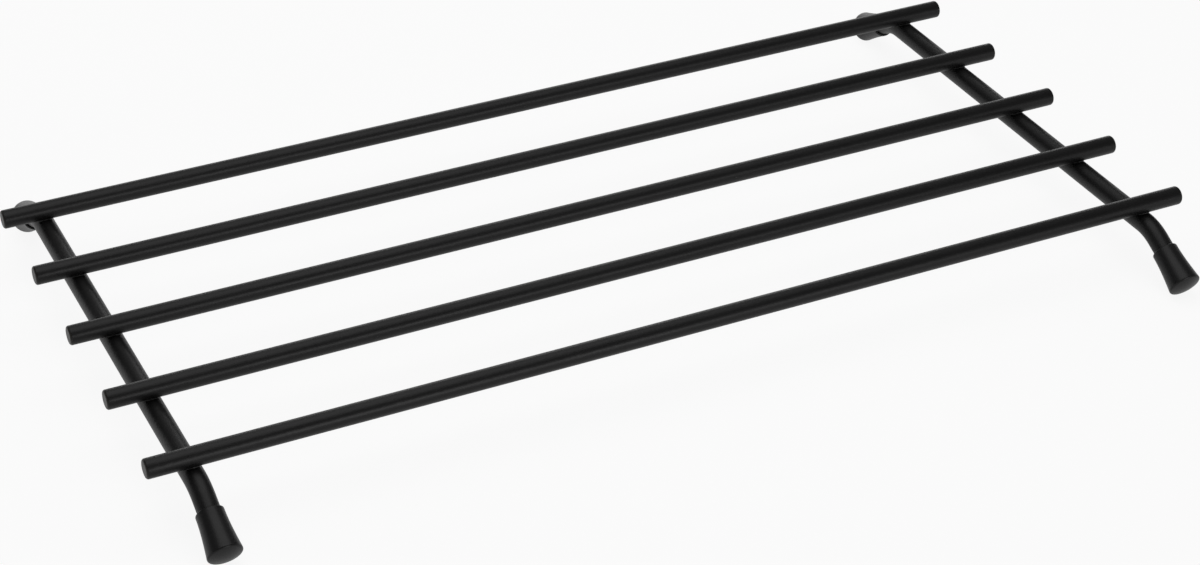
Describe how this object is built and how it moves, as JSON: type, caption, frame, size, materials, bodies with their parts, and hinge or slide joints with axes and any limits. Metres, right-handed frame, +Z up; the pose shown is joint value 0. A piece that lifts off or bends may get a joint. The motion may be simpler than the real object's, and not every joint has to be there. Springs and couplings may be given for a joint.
{
  "type": "steel trivet",
  "caption": "Low rectangular trivet of black-coated round steel bars welded across leg rods whose bent-down ends stand in flared rubber foot caps, to hold hot pots off a table.",
  "frame": {"origin": "on the table, under the middle of the deck", "axes": "+X along the bars to the right, +Y from the front bar to the back bar, +Z up"},
  "size_m": [0.46, 0.2716, 0.0314],
  "materials": {
    "black_coat": "satin black powder coat with a fine even texture",
    "black_rubber": "matt black moulded rubber"
  },
  "bodies": {
    "root": {"bar_1": "black_coat", "bar_2": "black_coat", "bar_3": "black_coat", "bar_4": "black_coat", "bar_5": "black_coat", "left_leg_rod": "black_coat", "right_leg_rod": "black_coat", "front_left_foot": "black_rubber", "front_right_foot": "black_rubber", "back_left_foot": "black_rubber", "back_right_foot": "black_rubber"}
  },
  "joints": []
}
